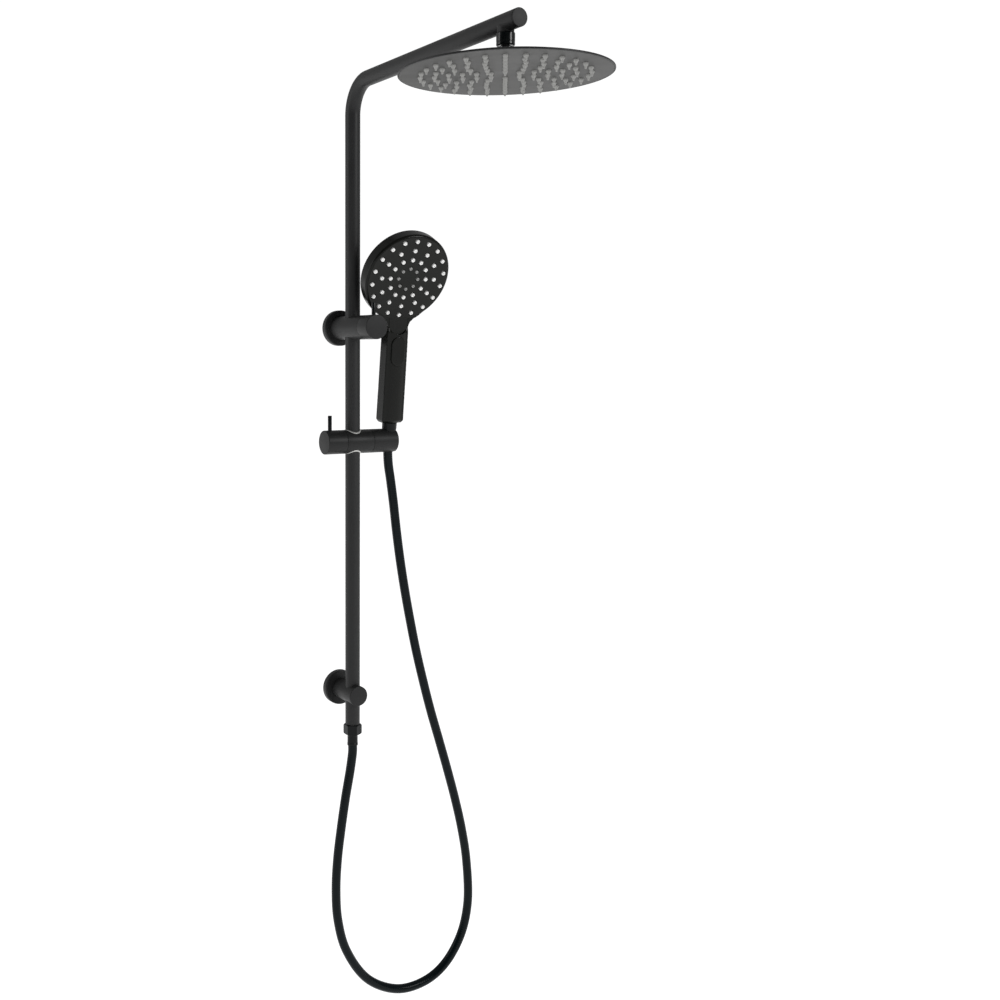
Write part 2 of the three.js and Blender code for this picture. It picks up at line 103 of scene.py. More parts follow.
WORLD = Matrix()
ALONG_X = Matrix.Rotation(math.pi / 2, 4, "Y")  # turns +Z to +X
ALONG_Y = Matrix.Rotation(math.pi / 2, 4, "X")  # turns +Z to -Y


def offset(x, y, z):
    return Matrix.Translation((x, y, z))


def bracket(z):
    """Local Z runs from the wall to the front, and local Y is up."""
    return offset(0, 0, z) @ ALONG_Y


RISER = offset(0, -RISER_OUT, 0)
SLIDER = offset(0, -RISER_OUT, SLIDER_Z)
HAND = offset(HAND_X, -RISER_OUT, SLIDER_Z) @ Matrix.Rotation(HAND_LEAN, 4, "X")
FACE_TILT = math.radians(21)
HAND_CENTRE = Vector((0, -29, 242.3))
HAND_HEAD = Matrix.Translation(HAND_CENTRE) @ Matrix.Rotation(
    math.pi / 2 + FACE_TILT, 4, "X"
)


# Shader nodes


def link(tree, source, output, target, socket):
    tree.links.new(source.outputs[output], target.inputs[socket])


def noise(tree, coordinates, size_mm, detail=3.0):
    """Noise with features of about that size."""
    node = tree.nodes.new("ShaderNodeTexNoise")
    node.inputs["Scale"].default_value = 1 / (size_mm * MM)
    node.inputs["Detail"].default_value = detail
    link(tree, coordinates, "Object", node, "Vector")
    return node


def spread(tree, source, output, low, high, start=0.3, end=0.7):
    """Goes from low to high while the source's output goes from start to end."""
    node = tree.nodes.new("ShaderNodeMapRange")
    node.inputs["From Min"].default_value = start
    node.inputs["From Max"].default_value = end
    node.inputs["To Min"].default_value = low
    node.inputs["To Max"].default_value = high
    link(tree, source, output, node, "Value")
    return node


def calculate(tree, operation, first, second):
    """Output of a math node. Each value is a number or another node's output."""
    node = tree.nodes.new("ShaderNodeMath")
    node.operation = operation
    for socket, value in zip(node.inputs, (first, second)):
        if isinstance(value, (int, float)):
            socket.default_value = value
        else:
            tree.links.new(value, socket)
    return node.outputs[0]


def mix(tree, factor, output, first, second):
    """Colour node that goes from first to second. Each is a colour, or a (node, output) pair."""
    node = tree.nodes.new("ShaderNodeMix")
    node.data_type = "RGBA"
    link(tree, factor, output, node, "Factor")
    for socket, value in (("A", first), ("B", second)):
        target = next(s for s in node.inputs if s.name == socket and s.type == "RGBA")
        if isinstance(value[0], bpy.types.Node):
            tree.links.new(value[0].outputs[value[1]], target)
        else:
            target.default_value = (*value, 1)
    return node


def colour_output(node):
    return next(i for i, s in enumerate(node.outputs) if s.type == "RGBA" and s.enabled)


# Camera, light and floor


CAMERA_AT = (-0.8813, -1.7, -0.0309)  # metres
CAMERA_TURN = (0.447978, -0.0954974, -0.0038004)  # yaw, pitch and roll in radians


def add_camera():
    yaw, pitch, roll = CAMERA_TURN
    forward = Vector((
        math.sin(yaw) * math.cos(pitch),
        math.cos(yaw) * math.cos(pitch),
        math.sin(pitch),
    ))
    level = Vector((math.cos(yaw), -math.sin(yaw), 0))
    upward = level.cross(forward)
    right = level * math.cos(roll) + upward * math.sin(roll)
    up = upward * math.cos(roll) - level * math.sin(roll)
    data = bpy.data.cameras.new("camera")
    data.sensor_width = 36
    data.lens = 45.478
    data.shift_x = 0.2
    data.shift_y = -0.03
    camera = bpy.data.objects.new("camera", data)
    turn = Matrix((right, up, -forward)).transposed().to_4x4()
    camera.matrix_world = Matrix.Translation(CAMERA_AT) @ turn
    bpy.context.collection.objects.link(camera)
    bpy.context.scene.camera = camera


def add_light(name, place, target, size, watts):
    """Area light. Its places and size are in metres."""
    data = bpy.data.lights.new(name, "AREA")
    data.shape = "RECTANGLE"
    data.size, data.size_y = size
    data.energy = watts
    light = bpy.data.objects.new(name, data)
    aim = (Vector(target) - Vector(place)).to_track_quat("-Z", "Y")
    light.matrix_world = Matrix.Translation(place) @ aim.to_matrix().to_4x4()
    bpy.context.collection.objects.link(light)


def add_world():
    """The camera sees white. Light comes from pale walls, dim behind the camera, with a dark flag
    at the left front."""
    world = bpy.data.worlds.new("studio")
    world.use_nodes = True
    tree = world.node_tree
    shown = tree.nodes["Background"]
    shown.inputs["Color"].default_value = (1, 1, 1, 1)
    shown.inputs["Strength"].default_value = 1.04
    ambient = tree.nodes.new("ShaderNodeBackground")
    coordinates = tree.nodes.new("ShaderNodeTexCoord")
    parts = tree.nodes.new("ShaderNodeSeparateXYZ")
    link(tree, coordinates, "Generated", parts, "Vector")
    height = spread(tree, parts, "Z", 0.75, 0.5, 0.05, 0.6)
    depth = spread(tree, parts, "Y", 0.15, 1.0, -0.85, 0.4)
    flag = tree.nodes.new("ShaderNodeVectorMath")
    flag.operation = "DOT_PRODUCT"
    flag.inputs[1].default_value = (-0.90, -0.43, 0)
    tree.links.new(coordinates.outputs["Generated"], flag.inputs[0])
    shade = spread(tree, flag, "Value", 1.0, 0.1, 0.7, 0.9)
    walls = calculate(tree, "MULTIPLY", height.outputs[0], depth.outputs[0])
    strength = calculate(tree, "MULTIPLY", walls, shade.outputs[0])
    tree.links.new(strength, ambient.inputs["Strength"])
    path = tree.nodes.new("ShaderNodeLightPath")
    either = tree.nodes.new("ShaderNodeMixShader")
    link(tree, path, "Is Camera Ray", either, "Fac")
    tree.links.new(ambient.outputs[0], either.inputs[1])
    tree.links.new(shown.outputs[0], either.inputs[2])
    link(tree, either, 0, tree.nodes["World Output"], "Surface")
    bpy.context.scene.world = world


def add_studio():
    bpy.context.scene.view_settings.view_transform = "Standard"
    add_world()
    add_light("key", (1.7, -3.0, 1.2), (0, -0.2, 0), (1.3, 1.3), 42)
    add_light("side", (-2.2, 0.9, 0.5), (0, -0.1, -0.1), (0.8, 1.6), 10)


def add_floor():
    """Pale floor a little under the part. Its sizes are in metres."""
    half = 30.0
    z = CAD_BOX[0][2] - 0.05
    mesh = bpy.data.meshes.new("floor")
    mesh.from_pydata(
        [(-half, -half, z), (half, -half, z), (half, half, z), (-half, half, z)], [],
        [(0, 1, 2, 3)],
    )
    floor = bpy.data.objects.new("floor", mesh)
    bpy.context.collection.objects.link(floor)
    look = material("pale_floor", (0.8, 0.8, 0.8), 0.8, mottle=0.01, worn=0)
    shader = look.node_tree.nodes["Principled BSDF"]
    shader.inputs["Emission Color"].default_value = (1, 1, 1, 1)
    shader.inputs["Emission Strength"].default_value = 0.85
    mesh.materials.append(look)


# Shapes: each is (points, faces) in millimetres


def moved(shape, matrix):
    points, faces = shape
    return [matrix @ Vector(p) for p in points], faces


def rounded(profile, steps=4):
    """The profile with its corners rounded. A corner is (radius, height, rounding)."""
    points = []
    count = len(profile)
    for i, corner in enumerate(profile):
        here = Vector(corner[:2])
        if len(corner) < 3:
            points.append(tuple(here))
            continue
        back = (Vector(profile[i - 1][:2]) - here).normalized()
        ahead = (Vector(profile[(i + 1) % count][:2]) - here).normalized()
        half = back.angle(ahead) / 2
        centre = here + (back + ahead).normalized() * (corner[2] / math.sin(half))
        start = here + back * (corner[2] / math.tan(half)) - centre
        end = here + ahead * (corner[2] / math.tan(half)) - centre
        sweep = math.atan2(start.x * end.y - start.y * end.x, start.dot(end))
        for step in range(steps + 1):
            angle = sweep * step / steps
            cos, sin = math.cos(angle), math.sin(angle)
            x = start.x * cos - start.y * sin
            y = start.x * sin + start.y * cos
            points.append(tuple(centre + Vector((x, y))))
    return points


def turned(profile, sides=96, ring=False, radius_at=None):
    """The profile turned about Z. ring joins its ends, and radius_at(radius, height, angle) gives
    the radius where the section isn't round."""
    points, faces, rows = [], [], []
    for radius, height in profile:
        if radius < 1e-6:
            rows.append([len(points)])
            points.append((0, 0, height))
            continue
        rows.append(range(len(points), len(points) + sides))
        for i in range(sides):
            angle = 2 * math.pi * i / sides
            r = radius_at(radius, height, angle) if radius_at else radius
            points.append((r * math.cos(angle), r * math.sin(angle), height))
    pairs = list(zip(rows, rows[1:]))
    if ring:
        pairs.append((rows[-1], rows[0]))
    for low, high in pairs:
        for i in range(sides):
            j = (i + 1) % sides
            quad = [
                low[i % len(low)], low[j % len(low)], high[j % len(high)], high[i % len(high)],
            ]
            face = list(dict.fromkeys(quad))
            if len(face) > 2:
                faces.append(face)
    return points, faces


def rod(radius, start, end, sides=96, edge=0.0):
    """Closed cylinder along Z with rounded edges."""
    corner = (radius, end, edge) if edge else (radius, end)
    foot = (radius, start, edge) if edge else (radius, start)
    return turned(rounded([(0, start), foot, corner, (0, end)]), sides)


def sleeve(outer, inner, start, end, sides=96, edge=0.3):
    profile = [
        (inner, start, edge), (outer, start, edge), (outer, end, edge), (inner, end, edge),
    ]
    return turned(rounded(profile, 3), sides, ring=True)


def loft(rings):
    """Skin through rings of equal counts, closed at both ends."""
    count = len(rings[0])
    points = [p for ring in rings for p in ring]
    faces = [list(range(count))[::-1], [len(points) - count + i for i in range(count)]]
    for low in range(0, len(points) - count, count):
        for i in range(count):
            j = (i + 1) % count
            faces.append([low + i, low + j, low + count + j, low + count + i])
    return points, faces


def tube(path, radius, sides=48):
    """Closed tube along the path, whose rings turn as little as they can."""
    rings = []
    side = None
    for i, point in enumerate(path):
        ahead = (path[min(i + 1, len(path) - 1)] - path[max(i - 1, 0)]).normalized()
        if side is None:
            side = ahead.orthogonal()
        side = (side - ahead * side.dot(ahead)).normalized()
        other = ahead.cross(side)
        rings.append([
            point + side * (radius * math.cos(a)) + other * (radius * math.sin(a))
            for a in (2 * math.pi * k / sides for k in range(sides))
        ])
    return loft(rings)


def hexagon(flats):
    """radius_at for a hex nut: flats is half the distance across them. One flat faces along X."""
    def radius_at(radius, _height, angle):
        turn = (angle + math.pi / 6) % (math.pi / 3) - math.pi / 6
        return min(radius, flats / math.cos(turn))
    return radius_at


def circle(x, y, radius, sides):
    angles = [2 * math.pi * i / sides for i in range(sides)]
    return [(x + radius * math.cos(a), y + radius * math.sin(a)) for a in angles]


def rings_of_nozzles(rings, turn=0.0):
    """Centres of nozzles on rings of (count, radius). Before the turn, each has one straight up."""
    spots = []
    for count, radius in rings:
        for i in range(count):
            angle = turn + 2 * math.pi * i / count
            spots.append((radius * math.sin(angle), radius * math.cos(angle)))
    return spots


def flat_to_z(x, y, depth):
    """The front of a flat plate looks along +Z."""
    return (x, y, -depth)


def plate(outline, holes, depths, place=flat_to_z, inner=(), chamfer=0.25, sides=20):
    """Plate between two depths with round holes (x, y, radius) whose front edges are chamfered.
    place(x, y, depth) puts it in space, and the inner points let it bend."""
    front, back = depths
    flat = list(outline)
    edges = [(i, (i + 1) % len(flat)) for i in range(len(flat))]
    rims = []
    for x, y, radius in holes:
        first = len(flat)
        flat += circle(x, y, radius + chamfer, sides)
        edges += [(first + i, first + (i + 1) % sides) for i in range(sides)]
        rims.append((x, y, radius, range(first, first + sides)))
    flat += list(inner)
    found = geometry.delaunay_2d_cdt([Vector(p) for p in flat], edges, [], 1, 1e-6)
    spots, triangles, origins = found[0], found[2], found[3]
    at = {source: i for i, sources in enumerate(origins) for source in sources}
    kept = []
    for triangle in triangles:
        middle = sum((spots[i] for i in triangle), Vector((0, 0))) / len(triangle)
        in_hole = any(
            (middle.x - x) ** 2 + (middle.y - y) ** 2 < (radius + chamfer) ** 2
            for x, y, radius in holes
        )
        if not in_hole:
            kept.append(list(triangle))
    points = [place(p.x, p.y, front) for p in spots]
    behind = len(points)
    points += [place(p.x, p.y, back) for p in spots]
    faces = kept + [[behind + i for i in reversed(t)] for t in kept]
    for i in range(len(outline)):
        a, b = at[i], at[(i + 1) % len(outline)]
        faces.append([a, b, behind + b, behind + a])
    for x, y, radius, rim in rims:
        first = len(points)
        lip = front + chamfer
        points += [place(*p, lip) for p in circle(x, y, radius, sides)]
        for k, source in enumerate(rim):
            points[behind + at[source]] = place(*circle(x, y, radius, sides)[k], back)
            a, b = at[source], at[rim[(k + 1) % sides]]
            c, d = first + k, first + (k + 1) % sides
            faces.append([a, c, d, b])
            faces.append([c, behind + a, behind + b, d])
    return points, faces


# Materials


def material(
    name, colour, roughness, metallic=0.0, coat=0.0, grain=0.3, bump=0.3,
    mottle=0.16, smudge=0.06, worn=0.25, bump_mm=0.05, specular=0.5,
    sheen=0.0,
):
    """Coat or plastic. grain is its texture's size in mm, mottle its change of tone, smudge its
    change of roughness from place to place, and worn how far its exposed edges lighten."""
    made = bpy.data.materials.new(name)
    made.use_nodes = True
    tree = made.node_tree
    shader = tree.nodes["Principled BSDF"]
    shader.inputs["Metallic"].default_value = metallic
    shader.inputs["Specular IOR Level"].default_value = specular
    shader.inputs["Sheen Weight"].default_value = sheen
    shader.inputs["Sheen Roughness"].default_value = 0.3
    shader.inputs["Sheen Tint"].default_value = (0.55, 0.8, 0.9, 1)
    shader.inputs["Coat Weight"].default_value = coat
    shader.inputs["Coat Roughness"].default_value = 0.06
    coordinates = tree.nodes.new("ShaderNodeTexCoord")
    broad = noise(tree, coordinates, 45, 4)
    fine = noise(tree, coordinates, grain, 2)
    dark = tuple(c * (1 - mottle) for c in colour)
    light = tuple(min(1, c * (1 + mottle)) for c in colour)
    tone = spread(tree, broad, 0, 0, 1)
    base = mix(tree, tone, 0, dark, light)
    surface = tree.nodes.new("ShaderNodeNewGeometry")
    edge = spread(tree, surface, "Pointiness", 0, worn, 0.52, 0.6)
    bare = tuple(min(1, c * 1.6 + 0.01) for c in colour)
    final = mix(tree, edge, 0, (base, colour_output(base)), bare)
    link(tree, final, colour_output(final), shader, "Base Color")
    rough = spread(tree, broad, 0, roughness - smudge, roughness + smudge)
    link(tree, rough, 0, shader, "Roughness")
    bumps = tree.nodes.new("ShaderNodeBump")
    bumps.inputs["Strength"].default_value = bump
    bumps.inputs["Distance"].default_value = bump_mm * MM
    link(tree, fine, 0, bumps, "Height")
    link(tree, bumps, "Normal", shader, "Normal")
    return made


LOOKS = {
    "black_metal": material(
        "powder_coat", (0.0195, 0.0198, 0.0202), 0.44, grain=0.35, bump=0.3, specular=0.2,
    ),
    "hand_plastic": material(
        "hand_shower_plastic", (0.0058, 0.0062, 0.0052), 0.26, grain=0.25, bump=0.15,
        specular=0.16,
    ),
    "black_plastic": material(
        "satin_plastic", (0.0165, 0.0168, 0.0170), 0.42, grain=0.25, bump=0.2, specular=0.2,
    ),
    "face_grey": material(
        "spray_face", (0.048, 0.048, 0.0468), 0.55, grain=0.3, bump=0.25, mottle=0.05,
        specular=0.2,
    ),
    "silicone_grey": material(
        "grey_silicone", (0.30, 0.30, 0.29), 0.5, grain=0.4, mottle=0.05, worn=0.1,
    ),
    "silicone_white": material(
        "white_silicone", (0.80, 0.80, 0.79), 0.42, grain=0.4, mottle=0.03, worn=0,
    ),
    "silicone_mid": material(
        "mid_silicone", (0.26, 0.26, 0.255), 0.45, grain=0.4, mottle=0.05, worn=0.1,
    ),
    "nylon": material(
        "natural_nylon", (0.62, 0.62, 0.60), 0.4, grain=0.3, mottle=0.04, worn=0,
    ),
    "rubber": material("black_rubber", (0.012, 0.012, 0.012), 0.7, grain=0.4, bump=0.5),
    "brass": material(
        "turned_brass", (0.60, 0.42, 0.16), 0.28, metallic=1, grain=0.2, mottle=0.1,
    ),
    "steel": material(
        "bright_steel", (0.56, 0.57, 0.58), 0.26, metallic=1, grain=0.2, mottle=0.06,
    ),
    "ceramic": material(
        "cartridge_ceramic", (0.78, 0.76, 0.71), 0.35, grain=0.3, mottle=0.04, worn=0,
    ),
    "hose_black": material(
        "hose_skin", (0.0030, 0.0060, 0.0075), 0.2, grain=1.2, bump=0.1, smudge=0.03,
        specular=0.11, sheen=0.2,
    ),
    "deep_gloss": material(
        "hose_fittings", (0.004, 0.005, 0.0055), 0.16, coat=0.05, grain=0.3, bump=0.1,
        smudge=0.04, specular=0.12, sheen=0.08,
    ),
    "gloss_black": material(
        "gloss_plating", (0.004, 0.0055, 0.006), 0.18, coat=0.15, grain=0.3, bump=0.1,
        smudge=0.04, specular=0.25,
    ),
}


def add_winding(look, pitch_mm):
    """Fine waves from the hose's inner winding. The attribute hose_way holds the length along the
    hose and the cosine and sine of the angle around it."""
    tree = look.node_tree
    way = tree.nodes.new("ShaderNodeAttribute")
    way.attribute_name = "hose_way"
    parts = tree.nodes.new("ShaderNodeSeparateXYZ")
    link(tree, way, "Vector", parts, "Vector")
    around = calculate(tree, "ARCTAN2", parts.outputs["Z"], parts.outputs["Y"])
    along = calculate(tree, "MULTIPLY", parts.outputs["X"], 2 * math.pi / pitch_mm)
    wave = calculate(tree, "SINE", calculate(tree, "ADD", along, around), 0.0)
    bumps = tree.nodes.new("ShaderNodeBump")
    bumps.inputs["Strength"].default_value = 0.35
    bumps.inputs["Distance"].default_value = 0.12 * MM
    tree.links.new(wave, bumps.inputs["Height"])
    shader = tree.nodes["Principled BSDF"]
    tree.links.new(shader.inputs["Normal"].links[0].from_socket, bumps.inputs["Normal"])
    tree.links.new(bumps.outputs["Normal"], shader.inputs["Normal"])


add_winding(LOOKS["hose_black"], 3.6)


# Pieces


def to_mesh(name, shapes, where=WORLD):
    """One object in metres out of shapes in millimetres."""
    points, faces = [], []
    for shape_points, shape_faces in shapes:
        first = len(points)
        points += [(where @ Vector(p)) * MM for p in shape_points]
        faces += [[first + i for i in face] for face in shape_faces]
    mesh = bpy.data.meshes.new(name)
    mesh.from_pydata(points, [], faces)
    work = bmesh.new()
    work.from_mesh(mesh)
    bmesh.ops.recalc_face_normals(work, faces=work.faces)
    work.to_mesh(mesh)
    work.free()
    made = bpy.data.objects.new(name, mesh)
    bpy.context.collection.objects.link(made)
    return made


def settle(obj):
    """Puts the result of the object's modifiers into its mesh."""
    bpy.context.view_layer.update()
    evaluated = obj.evaluated_get(bpy.context.evaluated_depsgraph_get())
    mesh = bpy.data.meshes.new_from_object(evaluated)
    obj.modifiers.clear()
    obj.data = mesh


def carve(obj, cutters, where=WORLD, operation="DIFFERENCE"):
    """Cuts the shapes out of the object, or keeps only what lies in them."""
    for shape in cutters:
        tool = to_mesh("cutter", [shape], where)
        modifier = obj.modifiers.new("cut", "BOOLEAN")
        modifier.operation = operation
        modifier.solver = "EXACT"
        modifier.object = tool
        settle(obj)
        bpy.data.objects.remove(tool)


# Pieces that look different from the rest of their slot
LOOK_OF = {
    "handset_shell": "hand_plastic",
    "handset_face": "hand_plastic",
    "spray_button": "hand_plastic",
    "diverter_pin": "gloss_black",
    "lock_knob_pin": "gloss_black",
    "hose_cone_nut": "deep_gloss",
    "hose_nut_lower": "deep_gloss",
    "hose_ferrule_lower": "deep_gloss",
}


def dress(obj, node, crease=30, rides=True):
    """Gives the object its shading and look, hides the CAD node it stands for, and puts it on the
    node's body if it rides on one.
    """
    for face in obj.data.polygons:
        face.use_smooth = True
    obj.data.set_sharp_from_angle(angle=math.radians(crease))
    obj.data.materials.clear()
    look = LOOK_OF.get(node, SLOT_OF[node])
    obj.data.materials.append(LOOKS[look])
    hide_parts(node)
    if rides:
        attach(obj, BODY_OF[node])
    return obj


def detail(node, *shapes, where=WORLD, cuts=(), keep=(), crease=30):
    """A finished piece that stands for a CAD node."""
    obj = to_mesh(node + "_fine", shapes, where)
    carve(obj, cuts, where)
    carve(obj, keep, where, "INTERSECT")
    return dress(obj, node, crease)


# Hose route from the lower ferrule to the cone nut, as in the CAD. Y is from the riser's plane.
HOSE_ROUTE = [
    (0, 0, -630.4), (0, 0, -640), (-4, 0, -668), (-12, 0, -710), (-20, 0, -760),
    (-26, 0, -806), (-28.5, 0, -853), (-25.5, 0, -901), (-11, 0, -953), (28, 0, -1009),
    (83, 0, -1037), (133, 0, -1034), (168, 0, -1014), (197, 0, -973), (210, 0, -922),
    (207, 0, -850), (198, 0, -798), (185, 0, -746), (170, 0, -695), (154, 0, -644),
    (138, 0, -594), (124, 0.5, -544), (111.5, 1, -495), (101, 1.5, -447), (91.5, 2, -399),
    (83.5, 2.5, -352), (77, 3, -306), (72, 3.5, -264), (67, 4, -228), (63, 3.5, -205),
    (61, 1.9, -184.4), (61, -1.36, -156.1),
]
HOSE_UPPER_LENGTH = 110
HOSE_SIDES = 36


def smooth_route(stations, step):
    """Points about a step apart on the centripetal Catmull-Rom curve through the stations."""
    ends = [stations[0] * 2 - stations[1], *stations, stations[-1] * 2 - stations[-2]]
    points = []
    for p0, p1, p2, p3 in zip(ends, ends[1:], ends[2:], ends[3:]):
        d0, d1, d2 = (math.sqrt((b - a).length) for a, b in ((p0, p1), (p1, p2), (p2, p3)))
        start = ((p1 - p0) / d0 - (p2 - p0) / (d0 + d1) + (p2 - p1) / d1) * d1
        end = ((p2 - p1) / d1 - (p3 - p1) / (d1 + d2) + (p3 - p2) / d2) * d1
        count = max(2, round((p2 - p1).length / step))
        for k in range(count):
            t = k / count
            points.append(
                p1 * (2 * t**3 - 3 * t**2 + 1) + start * (t**3 - 2 * t**2 + t)
                + p2 * (3 * t**2 - 2 * t**3) + end * (t**3 - t**2)
            )
    points.append(stations[-1])
    return points


def length_of(path):
    return sum((b - a).length for a, b in zip(path, path[1:]))


def add_lower_hose_nut():
    nut = turned(rounded([
        (7.8, -612, 0.4), (13.9, -612, 1.6), (13.9, -597.5, 1.6), (11.2, -597.5, 0.3),
        (11.2, -606), (7.8, -606),
    ], 3), 96, ring=True, radius_at=hexagon(12.04))
    return detail("hose_nut_lower", nut, where=RISER, crease=24)


def add_lower_ferrule():
    ferrule = turned(rounded([
        (4, -630, 0.3), (8.2, -630, 0.5), (8.2, -626.5, 0.3), (7.9, -626, 0.3), (7.9, -615, 0.3),
        (8.2, -614.5, 0.3), (8.2, -612.4), (7.4, -612.4), (7.4, -609.1), (9.6, -609.1),
        (9.6, -607.5), (4, -607.5),
    ], 2), 64, ring=True)
    return detail("hose_ferrule_lower", ferrule, where=RISER)


def mark_way(obj, line, travelled):
    """Notes each point's way along and around the hose, and returns the length reached."""
    way = obj.data.attributes.new("hose_way", "FLOAT_VECTOR", "POINT")
    for ring, point in enumerate(line):
        travelled += (point - line[max(ring - 1, 0)]).length
        for k in range(HOSE_SIDES):
            turn = 2 * math.pi * k / HOSE_SIDES
            at = way.data[ring * HOSE_SIDES + k]
            at.vector = (travelled, math.cos(turn), math.sin(turn))
    return travelled


def add_hose():
    fittings = [add_lower_hose_nut(), add_lower_ferrule()]
    path = smooth_route([Vector((x, y - RISER_OUT, z)) for x, y, z in HOSE_ROUTE], 3)
    lower = list(path)
    upper = []
    while length_of(upper) < HOSE_UPPER_LENGTH:
        upper.insert(0, lower.pop())
    lower.append(upper[0])
    stretches = (
        (
            "shower_hose", lower, ("root", "slider"), fittings,
            (0, -RISER_OUT, -630.4), (178, -RISER_OUT, -568),
        ),
        (
            "hose_upper_end", upper, ("slider", "cradle"), [],
            (HAND_X, -RISER_OUT, -255), (HAND_X, -RISER_OUT, -182),
        ),
    )
    travelled = 0.0
    for node, line, bodies, on_it, start, end in stretches:
        obj = to_mesh(node + "_fine", [tube(line, HOSE_R, HOSE_SIDES)])
        travelled = mark_way(obj, line, travelled)
        dress(obj, node, 50, rides=False)
        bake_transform(obj)


def add_tubes():
    path = [Vector((0, -RISER_OUT, 6)), Vector((0, -RISER_OUT, 160))]
    steps = 40
    for i in range(steps + 1):
        angle = i / steps * math.pi / 2
        y = -RISER_OUT - BEND_R * (1 - math.cos(angle))
        path.append(Vector((0, y, ARM_Z - BEND_R + BEND_R * math.sin(angle))))
    path.append(Vector((0, -ARM_OUT + 2.3, ARM_Z)))
    detail("riser_upper_tube", tube(path, TUBE_R, 96))
    detail("riser_lower_tube", rod(TUBE_R, LOWER_Z - 6, -6), where=RISER)
    cap = turned(rounded([
        (0, ARM_OUT - 10), (9.2, ARM_OUT - 10), (9.2, ARM_OUT - 2), (TUBE_R, ARM_OUT - 2, 0.15),
        (TUBE_R, ARM_OUT, 0.7), (0, ARM_OUT),
    ]))
    detail("arm_end_cap", cap, where=bracket(ARM_Z))


def add_arm_outlet():
    outlet = offset(0, -HEAD_OUT, 0)
    stub = turned(rounded([
        (4.5, 334.5), (9.3, 334.5), (9.3, 338.2), (10, 338.2, 0.3), (10, 343.5), (11, 346),
        (4.5, 346),
    ]), 96, ring=True)
    arm = moved(rod(TUBE_R - 0.4, -30, 30), offset(0, 0, ARM_Z) @ ALONG_Y)
    detail("arm_outlet_stub", stub, where=outlet, cuts=[arm])
    nut = turned(rounded([
        (6.2, 323, 0.2), (10.2, 323, 0.4), (11.1, 324, 0.4), (11.1, 326.4, 0.2), (10.8, 326.7, 0.2),
        (10.8, 327.3, 0.2), (11.1, 327.6, 0.2), (11.1, 337.2, 0.5), (10.4, 337.9, 0.4),
        (9.6, 337.9), (9.6, 326),
    ], 3), 96, ring=True)
    detail("head_swivel_nut", nut, where=outlet)


RAIN_TURN = math.radians(-34.7)  # the head hangs turned in its swivel
RAIN_RINGS = [(28, 100), (24, 83), (18, 67), (14, 51), (10, 35), (6, 19)]


def add_rain_head():
    head = offset(0, -HEAD_OUT, FACE_Z)
    shell = turned(rounded([
        (4.3, 29.5, 0.3), (4.3, 10), (60, 7.6), (113, 4.2), (RAIN_R - 1.3, 1.6), (RAIN_R - 1.3, 0),
        (RAIN_R, 0.1, 0.5), (RAIN_R, 2.2, 1.0), (114, 5.4, 30), (60, 9, 60), (24, 10.8, 3),
        (20, 15, 1.5), (8.3, 16, 1.2), (8.3, 29.5, 0.6),
    ], 6), 192, ring=True)
    detail("rain_head_shell", shell, where=head, crease=28)
    down = head @ Matrix.Rotation(math.pi, 4, "X")
    spots = rings_of_nozzles(RAIN_RINGS, RAIN_TURN)
    face = plate(
        circle(0, 0, RAIN_R - 1.7, 192), [(x, y, 3.5) for x, y in spots], (0, 1.2), sides=24,
        chamfer=0.2,
    )
    detail("rain_head_face", face, where=down)
    nozzle = turned(rounded([
        (0, -1.6), (3.05, -1.6), (3.05, 1.5, 0.6), (1.5, 4.2, 0.6), (1.1, 6.4, 0.4), (0.5, 6.4),
        (0.5, 5.4), (0, 5.4),
    ], 2), 18)
    mat = rod(111, -3, -1.5, 96)
    nozzles = [moved(nozzle, offset(x, y, 0)) for x, y in spots]
    detail("rain_head_nozzle_mat", mat, *nozzles, where=down, crease=40)


def flange(radius):
    """Wall flange round a barrel of that radius: a shallow cup, open to the wall."""
    hole = radius - 0.15
    return turned(rounded([
        (hole, 7.4), (22, 7.4), (22, 0), (FLANGE_R, 0, 0.3), (FLANGE_R, FLANGE_OUT, 2.2),
        (hole, FLANGE_OUT, 0.3),
    ], 8), 128, ring=True)


def riser_bore():
    """Cutter for the riser's bore, along a bracket's local Y."""
    return moved(rod(TUBE_R + GAP, -30, 30), offset(0, 0, RISER_OUT) @ ALONG_Y)


def grub_bore(out, start, end):
    """Cutter for a grub screw's hole in a bracket's underside."""
    return moved(rod(GRUB_R, start, end, 48), offset(0, 0, out) @ ALONG_Y)


def pin_bore():
    return rod(PIN_R + 0.25, 10, 25, 48)


def pin(top):
    """Knob's pin along Z, from inside its knob to its rounded top."""
    return turned(rounded([(0, 8.3), (PIN_R, 8.3), (PIN_R, top, 0.7), (0, top)]), 48)


def add_inlet():
    where = bracket(0)
    detail("upper_wall_flange", flange(DIVERTER_R), where=where)
    gasket = sleeve(21.6, 18.4, 0.2, 4, 96)
    detail("upper_flange_gasket", gasket, where=where)
    union = turned(rounded([
        (10.5, 0.4, 0.3), (13.8, 0.4, 0.8), (13.8, 7, 0.8), (10.5, 7, 0.3),
    ], 3), 96, ring=True, radius_at=hexagon(11.95))
    detail("inlet_union_nut", union, where=where, crease=24)
    detail("inlet_washer", sleeve(10, 6.8, 1, 3.2), where=where)


